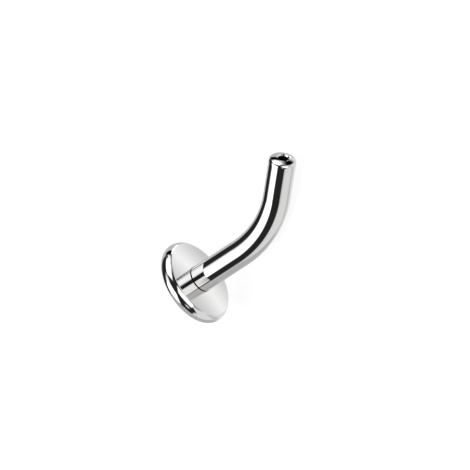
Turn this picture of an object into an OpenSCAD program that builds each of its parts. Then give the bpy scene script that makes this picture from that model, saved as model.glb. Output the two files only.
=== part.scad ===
// Curved navel stud, lying on its side as it would on a table.
// A bent round post stands on the middle of a disc base with a domed underside.
// The post's other end is gently domed and has a push-fit socket.

/* [Post] */
// Diameter of the post
post_d = 1.6; // [1.4:0.1:2.4]
// Length of the straight leg between the base and the bend
lower_leg = 3.15; // [2:0.05:5]
// Radius of the bend, at the middle of the post
bend_r = 6.7; // [4:0.1:12]
// Angle that the post turns through
bend_angle = 40.5; // [25:0.5:60]
// Length of the straight leg between the bend and the open end
upper_leg = 2.65; // [1.5:0.05:4]
// Radius of the shallow dome on the open end
end_dome_r = 2; // [1.4:0.1:4]
// Radius of the rounding between that dome and the post's side
end_round = 0.2; // [0.1:0.05:0.3]
// Width of the chamfer around the post's foot
foot_chamfer = 0.04; // [0.02:0.01:0.1]

/* [Socket] */
// Diameter of the push-fit socket in the open end
socket_d = 0.6; // [0.4:0.05:0.7]
// Depth of the socket
socket_depth = 3; // [1:0.1:3.5]
// Diameter of the socket's countersunk mouth
mouth_d = 0.75; // [0.75:0.05:1]

/* [Base] */
// Diameter of the disc base
base_d = 5.1; // [3.5:0.1:8]
// Radius of the rounding around the rim
rim_round = 0.5; // [0.46:0.01:0.6]
// Height of the face's edge above the widest ring
edge_rise = 0.42; // [0.1:0.01:0.45]
// Rise of the face from its edge to its middle
crown_rise = 0.04; // [0.02:0.01:0.2]
// Depth of the domed underside below the widest ring
dome_depth = 1.15; // [1:0.05:1.6]

/* [Seat] */
// Diameter of the spigot on the post's foot
spigot_d = 0.9; // [0.5:0.05:1.1]
// Length of the spigot
spigot_len = 0.8; // [0.3:0.05:0.9]
// Gap between the post and the base, round the spigot and under the shoulder
seam_gap = 0.01; // [0.005:0.005:0.03]

/* [Resting] */
// Roll of the stud about its lower leg, where its weight balances over the surface
rest_roll = 33; // [15:1:45]
// Turn of the resting stud about the vertical
rest_turn = -17; // [-90:1:90]

/* [Hidden] */
$fn = 96;
steel = [0.76, 0.77, 0.78];

post_r = post_d / 2;
base_r = base_d / 2;
// Circle that the rim's rounding is centred on
rim_ring_r = base_r - rim_round;
// Edge of the crowned face
edge_r = rim_ring_r + sqrt(rim_round ^ 2 - edge_rise ^ 2);
// Spheres of the crowned face and of the domed underside
crown_r = (edge_r ^ 2 + crown_rise ^ 2) / (2 * crown_rise);
dome_r = (rim_ring_r ^ 2 + dome_depth ^ 2 - rim_round ^ 2) / (2 * (dome_depth - rim_round));
crown_z = edge_rise + crown_rise - crown_r;
dome_z = dome_r - dome_depth;
// Height of the flat seat in the face, above the widest ring
seat_z = crown_z + sqrt(crown_r ^ 2 - post_r ^ 2);
seat_depth = spigot_len + seam_gap;
seat_d = spigot_d + 2 * seam_gap;
// Overlap that joins two shapes of one piece
joint_overlap = 0.2;

// The stud's own frame has the lower leg along X from the seam, and the bend turning towards Y.
widest_x = -seam_gap - seat_z;
bend_centre = [lower_leg, bend_r, 0];
function bend_dir(turn) = [cos(turn), sin(turn), 0];
function bend_point(turn) = bend_centre + bend_r * [sin(turn), -cos(turn), 0];
end_dir = bend_dir(bend_angle);
// Circle that the open end's rounding is centred on, and the middle of its dome
end_ring_r = post_r - end_round;
end_dome_cos = sqrt(1 - (end_ring_r / (end_dome_r - end_round)) ^ 2);
end_dome_z = upper_leg - end_dome_r;
end_ring_z = end_dome_z + (end_dome_r - end_round) * end_dome_cos;
end_ring = bend_point(bend_angle) + end_ring_z * end_dir;
end_dome = bend_point(bend_angle) + end_dome_z * end_dir;

// How far a round shape reaches in a direction: a ring about an axis, thickened by a radius
function ring_reach(dir, centre, axis, ring_r, thick_r) =
    dir * centre + ring_r * sqrt(max(0, 1 - (dir * axis) ^ 2)) + thick_r;
function dome_reach(dir) =
    -dir[0] < dome_z / (dome_r - rim_round) ? -base_d : dir[0] * (widest_x + dome_z) + dome_r;
function base_reach(dir) =
    max(ring_reach(dir, [widest_x, 0, 0], [1, 0, 0], rim_ring_r, rim_round), dome_reach(dir));
function bend_reach(dir) =
    max([for (turn = [0 : bend_angle]) ring_reach(dir, bend_point(turn), bend_dir(turn), post_r, 0)]);
function end_reach(dir) =
    dir * end_dir > end_dome_cos ? dir * end_dome + end_dome_r
    : ring_reach(dir, end_ring, end_dir, end_ring_r, end_round);
function post_reach(dir) = max(bend_reach(dir), end_reach(dir));
function stud_reach(dir) = max(base_reach(dir), post_reach(dir));

// The lower leg dips until the rim and the bend touch the surface together.
function up_at(dip) = [-sin(dip), cos(dip) * sin(rest_roll), cos(dip) * cos(rest_roll)];
function settled_dip(low, high, steps) =
    let (middle = (low + high) / 2)
    steps == 0 ? middle
    : base_reach(-up_at(middle)) > post_reach(-up_at(middle)) ? settled_dip(middle, high, steps - 1)
    : settled_dip(low, middle, steps - 1);
rest_dip = settled_dip(0, 45, 24);

// The table's directions in the stud's frame, and the shift that centres the resting stud on the origin
level_a = [cos(rest_dip), sin(rest_dip) * sin(rest_roll), sin(rest_dip) * cos(rest_roll)];
level_b = [0, cos(rest_roll), -sin(rest_roll)];
table_x = cos(rest_turn) * level_a - sin(rest_turn) * level_b;
table_y = sin(rest_turn) * level_a + cos(rest_turn) * level_b;
rest_shift = [
    (stud_reach(-table_x) - stud_reach(table_x)) / 2,
    (stud_reach(-table_y) - stud_reach(table_y)) / 2,
    stud_reach(-up_at(rest_dip)),
];

module lay_down() {
    translate(rest_shift)
        rotate([rest_roll, rest_dip, rest_turn])
            children();
}

// A shape that is drawn along Z, turned to run along X
module along_x() {
    rotate([-90, 0, -90])
        children();
}

// A shape that is drawn along Z from 0, moved to the upper leg's start
module on_upper_leg() {
    translate(bend_centre)
        rotate([0, 0, bend_angle])
            translate([0, -bend_r, 0])
                along_x()
                    children();
}

// Half section of the upper leg, with its domed and rounded open end
module end_profile() {
    ring_centre = [end_ring_r, end_ring_z];
    dome_ray = [end_ring_r, end_ring_z - end_dome_z] / (end_dome_r - end_round);
    square([post_r, end_ring_z]);
    intersection() {
        translate(ring_centre)
            circle(r = end_round);
        translate([0, end_ring_z])
            square([post_r, end_round]);
    }
    intersection() {
        translate([0, end_dome_z])
            circle(r = end_dome_r);
        polygon([[0, 0], ring_centre, ring_centre + post_r * dome_ray, [0, 2 * upper_leg]]);
    }
}

module socket() {
    // The countersink has the mouth's diameter where it meets the dome.
    dome_drop = end_dome_r - sqrt(end_dome_r ^ 2 - mouth_d ^ 2 / 4);
    mouth_depth = (mouth_d - socket_d) / 2 + dome_drop;
    cut_depth = mouth_depth + joint_overlap;
    translate([0, 0, upper_leg - socket_depth])
        cylinder(d = socket_d, h = socket_depth + joint_overlap);
    translate([0, 0, upper_leg - mouth_depth])
        cylinder(d1 = socket_d, d2 = socket_d + 2 * cut_depth, h = cut_depth);
}

// The straight lower leg, chamfered around its foot
module lower_bar() {
    difference() {
        cylinder(r = post_r, h = lower_leg);
        rotate_extrude()
            translate([post_r, 0])
                polygon([[-2, -1] * foot_chamfer, [1, -1] * foot_chamfer, [1, 2] * foot_chamfer]);
    }
}

module bend() {
    translate(bend_centre)
        rotate([0, 0, -90])
            rotate_extrude(angle = bend_angle)
                translate([bend_r, 0])
                    circle(r = post_r);
}

module curved_post() {
    color(steel)
        lay_down()
            difference() {
                union() {
                    along_x() lower_bar();
                    translate([-spigot_len, 0, 0])
                        along_x() cylinder(d = spigot_d, h = spigot_len + joint_overlap);
                    bend();
                    on_upper_leg() rotate_extrude(start = 0) end_profile();
                }
                on_upper_leg() socket();
            }
}

// Half section of the base, with the widest ring at height 0
module base_profile() {
    rim_centre = [rim_ring_r, 0];
    dome_ray = [rim_ring_r, -dome_z] / (dome_r - rim_round);
    intersection() {
        // The face is a small patch of a wide circle, which takes many more segments.
        translate([0, crown_z])
            circle(r = crown_r, $fn = 16 * $fn);
        translate([0, -dome_depth])
            square([base_r, dome_depth + seat_z]);
        union() {
            translate(rim_centre)
                circle(r = rim_round);
            square([rim_ring_r, seat_z]);
            intersection() {
                translate([0, dome_z])
                    circle(r = dome_r);
                polygon([[0, 0], [0, -2 * dome_depth], rim_centre + base_r * dome_ray, rim_centre]);
            }
        }
    }
}

module disc_base() {
    color(steel)
        lay_down()
            translate([widest_x, 0, 0])
                along_x()
                    difference() {
                        rotate_extrude() base_profile();
                        translate([0, 0, seat_z - seat_depth])
                            cylinder(d = seat_d, h = seat_depth + joint_overlap);
                    }
}

curved_post();
disc_base();
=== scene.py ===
import math

import bmesh
import bpy
from mathutils import Matrix, Vector


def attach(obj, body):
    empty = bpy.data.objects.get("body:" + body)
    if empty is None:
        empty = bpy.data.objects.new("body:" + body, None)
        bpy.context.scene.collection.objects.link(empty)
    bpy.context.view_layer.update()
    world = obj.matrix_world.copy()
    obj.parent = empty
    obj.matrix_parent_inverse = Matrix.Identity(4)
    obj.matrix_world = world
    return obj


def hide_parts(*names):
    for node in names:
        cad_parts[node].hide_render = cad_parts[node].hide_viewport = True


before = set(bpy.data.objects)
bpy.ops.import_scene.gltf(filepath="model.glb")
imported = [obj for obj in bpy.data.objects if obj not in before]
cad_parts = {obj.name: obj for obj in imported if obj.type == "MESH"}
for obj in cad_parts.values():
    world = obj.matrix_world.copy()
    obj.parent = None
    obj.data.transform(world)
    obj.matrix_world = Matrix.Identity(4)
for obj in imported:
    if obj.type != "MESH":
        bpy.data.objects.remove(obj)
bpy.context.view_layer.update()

# A millimetre in metres
MM = 0.001

# Sizes of the stud in millimetres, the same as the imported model's
POST_R = 0.8
LOWER_LEG = 3.15
BEND_R = 6.7
BEND_ANGLE = math.radians(40.5)
UPPER_LEG = 2.65
END_DOME_R = 2.0
END_ROUND = 0.2
FOOT_CHAMFER = 0.04
SOCKET_R = 0.3
SOCKET_DEPTH = 3.0
MOUTH_R = 0.375
BASE_R = 2.55
RIM_ROUND = 0.5
EDGE_RISE = 0.42
CROWN_RISE = 0.04
DOME_DEPTH = 1.15
SPIGOT_R = 0.45
SPIGOT_LEN = 0.8
SEAM_GAP = 0.01
BEND_LEN = BEND_R * BEND_ANGLE
POST_LEN = LOWER_LEG + BEND_LEN + UPPER_LEG

# How the stud lies: the roll about its lower leg, the dip of that leg and the turn on the floor
REST_ROLL = math.radians(33)
REST_DIP = math.radians(17.708)
REST_TURN = math.radians(-17)

# Mesh fineness: vertices in a ring, rings in each stretch of a piece, and the least angle of a sharp edge
AROUND_POST = 160
ALONG_POST = 120
OVER_END = 24
AROUND_BASE = 320
OVER_UNDERSIDE = 48
OVER_RIM = 40
OVER_FACE = 40
SHARP_ANGLE = math.radians(20)

# The photograph's view: where the camera stands round the object, and how much of it the frame takes in
PHOTO_PX = 470
PX_PER_MM = 17.5
CAMERA_AZIMUTH = math.radians(-37.74)
CAMERA_ELEVATION = math.radians(37.98)
CAMERA_ROLL = math.radians(-100.08)
# Where the middle of the face stands in the photograph, in pixels
FACE_PX = (200.6, 278.9)
LENS_MM = 1200
SENSOR_MM = 36
CLIP_START = 0.01
CLIP_END = 50

# The floor round the stud, which glows like a light table, so that shadows on it stay faint
FLOOR_HALF = 3.0
FLOOR_ALBEDO = 0.25
FLOOR_GLOW = 0.85

# The studio that the steel mirrors: dark above the horizon and pale below it, with soft-edged rectangular
# cards, each laid over the ones before it. A card's middle is at an azimuth and an elevation, tilt turns it
# about its middle, and width and height are how far it reaches to each side, all in degrees.
ROOM_LIGHT = 0.028
GROUND_LIGHT = 1.1
BACKDROP_LIGHT = 1.0
HORIZON_SOFT = 0.005
CARD_COLUMNS = ("name", "azimuth", "elevation", "tilt", "width", "height", "soft", "light")
CARDS = (
    ("low_back", -120, -54, 0, 30, 8, 6, 0.8),
    ("grey_wall", -170, -4, 0, 33, 43, 4, 0.65),
    ("ceiling_panel", 172, 69, 10, 25, 25, 5, 2.8),
    ("ceiling_end", 105, 65, 0, 15, 12, 8, 1.6),
    ("side_panel", 40, 26, 15, 24, 24, 6, 2.4),
    ("front_shade", -50, -20, 0, 12, 15, 5, 0.55),
    ("front_panel", -45, 15, -45, 20, 25, 3, 2.1),
    ("lamp", -95, 30, 0, 6, 6, 5, 1.3),
    ("low_grey", 110, -25, 0, 37, 30, 2, 0.75),
    ("low_flag", 25, -25, -30, 25, 15, 10, 0),
    ("low_gap", 70, -10, 30, 22, 8, 3, 0),
    ("side_foot", 46, -3, 10, 12, 6, 3, 1.8),
    ("low_strip", 60, -35, -35, 16, 5, 2, 2.5),
    ("back_strip", -121, 5, -10, 17, 6, 4, 1.1),
    ("face_ground", 30, -68, 0, 8, 8, 3, 0.9),
    ("face_glow", 30, -70, -10, 1.5, 8, 2.5, 1.5),
)

# The steel's tint, and the slightly warmer one in its smudges. Scales of noise are in features a metre, and
# a range is the stretch of levels over which a mask goes from one end to the other.
STEEL_TINT = (0.625, 0.625, 0.63, 1)
STEEL_TINT_WARM = (0.605, 0.6, 0.595, 1)
SMUDGE_SCALE = 400
SMUDGE_DETAIL = 3
SMUDGE_RANGE = (0.35, 0.65)

# The haze and the marks left by polishing, with the depth of the marks in metres
HAZE_SCALE = 5000
HAZE_DETAIL = 4
HAZE_RANGE = (0.35, 0.7)
HAZE_ROUGHNESS = (0.03, 0.06)
MARK_SCALE = 25000
MARK_DETAIL = 2
MARK_DEPTH = 1e-7

# The wear along edges, with its width in metres
WEAR_WIDTH = 4e-5
WEAR_RANGE = (0.9, 0.995)
WEAR_ROUGHNESS = 0.1
WEAR_SAMPLES = 6

# Painted shade that darkens the seam where the surface is shut off from light, with its reach in metres
PAINTED_SEAM_SHADE_TINT = (0.06, 0.06, 0.06, 1)
PAINTED_SEAM_SHADE_REACH = 1e-4
PAINTED_SEAM_SHADE_RANGE = (0.35, 0.75)
PAINTED_SEAM_SHADE_ROUGHNESS = 0.3
PAINTED_SEAM_SHADE_SAMPLES = 8


def arc(centre, radius, start, end, steps):
    """Points of a circle's arc, from one angle to another."""
    return [
        (
            centre[0] + radius * math.cos(start + (end - start) * i / steps),
            centre[1] + radius * math.sin(start + (end - start) * i / steps),
        )
        for i in range(steps + 1)
    ]


def path_point(s):
    """Place and direction on the post's middle line at a length s from the seam."""
    turn = min(max((s - LOWER_LEG) / BEND_R, 0.0), BEND_ANGLE)
    along = Vector((math.cos(turn), math.sin(turn), 0))
    place = Vector((LOWER_LEG, BEND_R, 0)) + BEND_R * Vector((math.sin(turn), -math.cos(turn), 0))
    # Before and after the bend the line runs straight.
    if s < LOWER_LEG:
        place += (s - LOWER_LEG) * along
    if s > LOWER_LEG + BEND_LEN:
        place += (s - LOWER_LEG - BEND_LEN) * along
    return place, along


def ring(bm, place, along, radius, count):
    """One ring of vertices about a direction in the XY plane, or one vertex where the radius is 0."""
    if radius == 0:
        return [bm.verts.new(place)]
    side = Vector((-along.y, along.x, 0))
    up = Vector((0, 0, 1))
    turns = [2 * math.pi * i / count for i in range(count)]
    return [bm.verts.new(place + radius * (math.cos(t) * side + math.sin(t) * up)) for t in turns]


def bridge(bm, low, high):
    """Faces between two rings, or between a ring and a point."""
    count = max(len(low), len(high))
    for i in range(count):
        j = (i + 1) % count
        if len(low) == 1:
            bm.faces.new((low[0], high[j], high[i]))
        elif len(high) == 1:
            bm.faces.new((low[i], low[j], high[0]))
        else:
            bm.faces.new((low[i], low[j], high[j], high[i]))


def tube_mesh(name, stations, count):
    """A closed piece through rings, each given by its place, direction and radius."""
    bm = bmesh.new()
    rings = [ring(bm, place, along, radius, count) for place, along, radius in stations]
    for low, high in zip(rings, rings[1:]):
        bridge(bm, low, high)
    bmesh.ops.recalc_face_normals(bm, faces=bm.faces)
    mesh = bpy.data.meshes.new(name)
    bm.to_mesh(mesh)
    bm.free()
    mesh.shade_smooth()
    mesh.set_sharp_from_angle(angle=SHARP_ANGLE)
    piece = bpy.data.objects.new(name, mesh)
    bpy.context.scene.collection.objects.link(piece)
    return piece


def post_stations():
    """The post's rings, from the spigot along the middle line, over the open end and down the socket."""
    skin = [(-SPIGOT_LEN, 0), (-SPIGOT_LEN, SPIGOT_R), (0, SPIGOT_R), (0, POST_R - FOOT_CHAMFER)]
    # The rounding around the open end runs into its shallow dome without an edge.
    ring_r = POST_R - END_ROUND
    round_turn = math.acos(ring_r / (END_DOME_R - END_ROUND))
    ring_s = POST_LEN - END_DOME_R + (END_DOME_R - END_ROUND) * math.sin(round_turn)
    straight = ring_s - FOOT_CHAMFER
    skin += [(FOOT_CHAMFER + straight * i / ALONG_POST, POST_R) for i in range(ALONG_POST)]
    skin += [(ring_s + y, x) for x, y in arc((ring_r, 0), END_ROUND, 0, round_turn, OVER_END)]
    mouth_turn = math.acos(MOUTH_R / END_DOME_R)
    dome = arc((0, 0), END_DOME_R, round_turn, mouth_turn, OVER_END)
    skin += [(POST_LEN - END_DOME_R + y, x) for x, y in dome[1:]]
    stations = [(*path_point(s), r) for s, r in skin]
    end, along = path_point(POST_LEN)
    # The countersink has the mouth's size where it meets the dome.
    mouth_depth = END_DOME_R * (1 - math.sin(mouth_turn)) + MOUTH_R - SOCKET_R
    inside = [(mouth_depth, SOCKET_R), (SOCKET_DEPTH, SOCKET_R), (SOCKET_DEPTH, 0)]
    stations += [(end - depth * along, along, r) for depth, r in inside]
    return stations


def base_stations():
    """The base's rings, from the middle of the underside over the rim and the face to the seat."""
    # The rim's rounding is centred on a ring, and the underside and the face are parts of spheres.
    rim_r = BASE_R - RIM_ROUND
    dome_r = (rim_r**2 + DOME_DEPTH**2 - RIM_ROUND**2) / (2 * (DOME_DEPTH - RIM_ROUND))
    dome_z = dome_r - DOME_DEPTH
    edge_turn = math.asin(EDGE_RISE / RIM_ROUND)
    edge_r = rim_r + RIM_ROUND * math.cos(edge_turn)
    crown_r = (edge_r**2 + CROWN_RISE**2) / (2 * CROWN_RISE)
    crown_z = EDGE_RISE + CROWN_RISE - crown_r
    seat_z = crown_z + math.sqrt(crown_r**2 - POST_R**2)
    low_turn = math.atan2(-dome_z, rim_r)
    profile = arc((0, dome_z), dome_r, -math.pi / 2, low_turn, OVER_UNDERSIDE)
    profile[0] = (0, -DOME_DEPTH)
    profile += arc((rim_r, 0), RIM_ROUND, low_turn, edge_turn, OVER_RIM)[1:]
    face_turn = math.atan2(EDGE_RISE - crown_z, edge_r)
    profile += arc((0, crown_z), crown_r, face_turn, math.acos(POST_R / crown_r), OVER_FACE)[1:]
    seat_r = SPIGOT_R + SEAM_GAP
    seat_floor = seat_z - SPIGOT_LEN - SEAM_GAP
    profile += [(seat_r, seat_z), (seat_r, seat_floor), (0, seat_floor)]
    along = Vector((1, 0, 0))
    start = -SEAM_GAP - seat_z
    return [(Vector((start + z, 0, 0)), along, r) for r, z in profile]


def lay_down(pieces):
    """Turns the pieces as the stud rests, puts the bottom centre at the origin, and scales to metres.

    Returns that move, which takes the stud's own frame, with its origin in the seam, to the shared frame.
    """
    dipped = Matrix.Rotation(REST_DIP, 4, "Y") @ Matrix.Rotation(REST_ROLL, 4, "X")
    turned = Matrix.Rotation(REST_TURN, 4, "Z") @ dipped
    for piece in pieces:
        piece.data.transform(turned)
    places = [v.co for piece in pieces for v in piece.data.vertices]
    low = [min(p[k] for p in places) for k in range(3)]
    high = [max(p[k] for p in places) for k in range(3)]
    shift = Vector((-(low[0] + high[0]) / 2, -(low[1] + high[1]) / 2, -low[2]))
    settled = Matrix.Scale(MM, 4) @ Matrix.Translation(shift)
    for piece in pieces:
        piece.data.transform(settled)
    return settled @ turned


def make_camera(face):
    """A long lens at the photograph's angle, placed so that the face's middle falls on its own pixel."""
    back = Vector((
        math.cos(CAMERA_ELEVATION) * math.cos(CAMERA_AZIMUTH),
        math.cos(CAMERA_ELEVATION) * math.sin(CAMERA_AZIMUTH),
        math.sin(CAMERA_ELEVATION),
    ))
    level_right = Vector((0, 0, 1)).cross(back).normalized()
    level_up = back.cross(level_right)
    right = math.cos(CAMERA_ROLL) * level_right + math.sin(CAMERA_ROLL) * level_up
    up = back.cross(right)
    half = PHOTO_PX / 2
    across = (half - FACE_PX[0]) / PX_PER_MM * MM
    above = (FACE_PX[1] - half) / PX_PER_MM * MM
    target = face + across * right + above * up
    frame_mm = PHOTO_PX / PX_PER_MM
    distance = frame_mm * MM * LENS_MM / SENSOR_MM
    camera_data = bpy.data.cameras.new("camera")
    camera_data.lens = LENS_MM
    camera_data.sensor_width = SENSOR_MM
    camera_data.clip_start = CLIP_START
    camera_data.clip_end = CLIP_END
    camera = bpy.data.objects.new("camera", camera_data)
    turn = Matrix((right, up, back)).transposed().to_4x4()
    camera.matrix_world = Matrix.Translation(target + distance * back) @ turn
    bpy.context.scene.collection.objects.link(camera)
    bpy.context.scene.camera = camera


def feed(tree, socket, value):
    """Links a node's input to another node's output, or sets it to a number, a direction or a tint."""
    if isinstance(value, bpy.types.NodeSocket):
        tree.links.new(value, socket)
    else:
        socket.default_value = value


def math_node(tree, operation, *inputs):
    """A Math node, with each input given as a socket or a number."""
    node = tree.nodes.new("ShaderNodeMath")
    node.operation = operation
    for socket, value in zip(node.inputs, inputs):
        feed(tree, socket, value)
    return node.outputs[0]


def ramp(tree, value, low, high, from_value=0.0, to_value=1.0):
    """A smooth step of a value from one level to another."""
    node = tree.nodes.new("ShaderNodeMapRange")
    node.interpolation_type = "SMOOTHSTEP"
    feed(tree, node.inputs["Value"], value)
    feed(tree, node.inputs["From Min"], low)
    feed(tree, node.inputs["From Max"], high)
    feed(tree, node.inputs["To Min"], from_value)
    feed(tree, node.inputs["To Max"], to_value)
    return node.outputs["Result"]


def dot(tree, direction, other):
    """How far a direction goes along another."""
    node = tree.nodes.new("ShaderNodeVectorMath")
    node.operation = "DOT_PRODUCT"
    feed(tree, node.inputs[0], direction)
    feed(tree, node.inputs[1], other)
    return node.outputs["Value"]


def mix(tree, kind, factor, value, other):
    """A light level or a tint that changes to another where the factor is 1."""
    node = tree.nodes.new("ShaderNodeMix")
    node.data_type = kind
    feed(tree, node.inputs["Factor"], factor)
    feed(tree, node.inputs["A"], value)
    feed(tree, node.inputs["B"], other)
    return node.outputs["Result"]


def noise(tree, coordinates, scale, detail):
    """Noise of a scale in features a metre."""
    node = tree.nodes.new("ShaderNodeTexNoise")
    feed(tree, node.inputs["Scale"], scale)
    feed(tree, node.inputs["Detail"], detail)
    feed(tree, node.inputs["Vector"], coordinates)
    return node.outputs["Fac"]


def card_mask(tree, direction, card):
    """1 inside a card of the studio and 0 outside it."""
    azimuth, elevation, tilt = (math.radians(card[key]) for key in ("azimuth", "elevation", "tilt"))
    raised = Matrix.Rotation(-elevation, 3, "Y") @ Matrix.Rotation(tilt, 3, "X")
    turned = Matrix.Rotation(azimuth, 3, "Z") @ raised
    ahead, aside, above = (dot(tree, direction, axis) for axis in turned.transposed())
    masks = []
    for reach, off in ((card["width"], aside), (card["height"], above)):
        angle = math_node(tree, "ARCTAN2", math_node(tree, "ABSOLUTE", off), ahead)
        angle = math_node(tree, "DEGREES", angle)
        masks.append(ramp(tree, angle, reach - card["soft"], reach + card["soft"], 1.0, 0.0))
    return math_node(tree, "MULTIPLY", *masks)


def make_world():
    """The studio's light from each direction, and a plain pale backdrop behind the floor."""
    world = bpy.data.worlds.new("studio")
    bpy.context.scene.world = world
    world.use_nodes = True
    tree = world.node_tree
    tree.nodes.clear()
    direction = tree.nodes.new("ShaderNodeTexCoord").outputs["Generated"]
    height = dot(tree, direction, (0, 0, 1))
    light = ramp(tree, height, -HORIZON_SOFT, HORIZON_SOFT, GROUND_LIGHT, ROOM_LIGHT)
    for row in CARDS:
        card = dict(zip(CARD_COLUMNS, row))
        light = mix(tree, "FLOAT", card_mask(tree, direction, card), light, card["light"])
    seen = tree.nodes.new("ShaderNodeLightPath").outputs["Is Camera Ray"]
    background = tree.nodes.new("ShaderNodeBackground")
    feed(tree, background.inputs["Color"], (1, 1, 1, 1))
    feed(tree, background.inputs["Strength"], mix(tree, "FLOAT", seen, light, BACKDROP_LIGHT))
    output = tree.nodes.new("ShaderNodeOutputWorld")
    feed(tree, output.inputs["Surface"], background.outputs[0])


def floor_material():
    """A plain matte pale surface that glows a little."""
    material = bpy.data.materials.new("pale_floor")
    material.use_nodes = True
    shader = material.node_tree.nodes["Principled BSDF"]
    shader.inputs["Base Color"].default_value = (FLOOR_ALBEDO, FLOOR_ALBEDO, FLOOR_ALBEDO, 1)
    shader.inputs["Roughness"].default_value = 1.0
    shader.inputs["Specular IOR Level"].default_value = 0.0
    shader.inputs["Emission Color"].default_value = (1, 1, 1, 1)
    shader.inputs["Emission Strength"].default_value = FLOOR_GLOW
    return material


def make_floor():
    """The plain floor that the stud rests on."""
    mesh = bpy.data.meshes.new("floor")
    bm = bmesh.new()
    bmesh.ops.create_grid(bm, x_segments=1, y_segments=1, size=FLOOR_HALF)
    bm.to_mesh(mesh)
    bm.free()
    mesh.materials.append(floor_material())
    floor = bpy.data.objects.new("floor", mesh)
    bpy.context.scene.collection.objects.link(floor)
    # The steel mirrors the studio's lower half instead, as it would on clear glass over a light table.
    floor.visible_glossy = False


def painted_seam_shade(tree):
    """Painted shade: 1 down in the seam and 0 in the open, found from how shut off the surface is there."""
    shut_off = tree.nodes.new("ShaderNodeAmbientOcclusion")
    shut_off.samples = PAINTED_SEAM_SHADE_SAMPLES
    feed(tree, shut_off.inputs["Distance"], PAINTED_SEAM_SHADE_REACH)
    return ramp(tree, shut_off.outputs["AO"], *PAINTED_SEAM_SHADE_RANGE, 1.0, 0.0)


def edge_wear(tree):
    """1 along the edges and 0 elsewhere, found from how far a rounded edge would turn the surface."""
    bevel = tree.nodes.new("ShaderNodeBevel")
    bevel.samples = WEAR_SAMPLES
    feed(tree, bevel.inputs["Radius"], WEAR_WIDTH)
    surface = tree.nodes.new("ShaderNodeNewGeometry")
    same = dot(tree, bevel.outputs["Normal"], surface.outputs["Normal"])
    return ramp(tree, same, *WEAR_RANGE, 1.0, 0.0)


def steel_tint(tree, coordinates, seam_shade):
    """The steel's own tint, a little warmer in smudges, and darkened by painted shade in the seam."""
    patches = noise(tree, coordinates, SMUDGE_SCALE, SMUDGE_DETAIL)
    smudges = ramp(tree, patches, *SMUDGE_RANGE)
    clean = mix(tree, "RGBA", smudges, STEEL_TINT, STEEL_TINT_WARM)
    # Painted shade: the tint turns dark where the seam is shut off from light
    return mix(tree, "RGBA", seam_shade, clean, PAINTED_SEAM_SHADE_TINT)


def steel_roughness(tree, coordinates, seam_shade):
    """A slight haze that varies, with more roughness along the edges and in the seam's painted shade."""
    patches = noise(tree, coordinates, HAZE_SCALE, HAZE_DETAIL)
    haze = ramp(tree, patches, *HAZE_RANGE, *HAZE_ROUGHNESS)
    worn = math_node(tree, "MULTIPLY", edge_wear(tree), WEAR_ROUGHNESS)
    dull = math_node(tree, "MULTIPLY", seam_shade, PAINTED_SEAM_SHADE_ROUGHNESS)
    return math_node(tree, "ADD", math_node(tree, "ADD", haze, worn), dull)


def polishing_marks(tree, coordinates):
    """The surface's direction, disturbed by fine marks."""
    marks = tree.nodes.new("ShaderNodeBump")
    feed(tree, marks.inputs["Strength"], 1.0)
    feed(tree, marks.inputs["Distance"], MARK_DEPTH)
    feed(tree, marks.inputs["Height"], noise(tree, coordinates, MARK_SCALE, MARK_DETAIL))
    return marks.outputs["Normal"]


def steel(name):
    """Mirror-polished steel: tint and gloss vary a little, edges are duller, and the seam has painted
    shade.
    """
    material = bpy.data.materials.new(name)
    material.use_nodes = True
    tree = material.node_tree
    shader = tree.nodes["Principled BSDF"]
    shader.inputs["Metallic"].default_value = 1.0
    coordinates = tree.nodes.new("ShaderNodeTexCoord").outputs["Object"]
    # Painted shade in the seam, from how shut off the surface is there
    seam_shade = painted_seam_shade(tree)
    feed(tree, shader.inputs["Base Color"], steel_tint(tree, coordinates, seam_shade))
    feed(tree, shader.inputs["Roughness"], steel_roughness(tree, coordinates, seam_shade))
    feed(tree, shader.inputs["Normal"], polishing_marks(tree, coordinates))
    return material


post = tube_mesh("polished_post", post_stations(), AROUND_POST)
base = tube_mesh("polished_base", base_stations(), AROUND_BASE)
placed = lay_down([post, base])
for piece, node, slot_name in ((post, "curved_post", "post_steel"), (base, "disc_base", "base_steel")):
    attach(piece, "root")
    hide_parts(node)

make_camera(placed @ Vector((0, 0, 0)))
make_world()
make_floor()
for piece, name in ((post, "polished_post_steel"), (base, "polished_base_steel")):
    piece.data.materials.append(steel(name))
bpy.context.scene.view_settings.view_transform = "Standard"
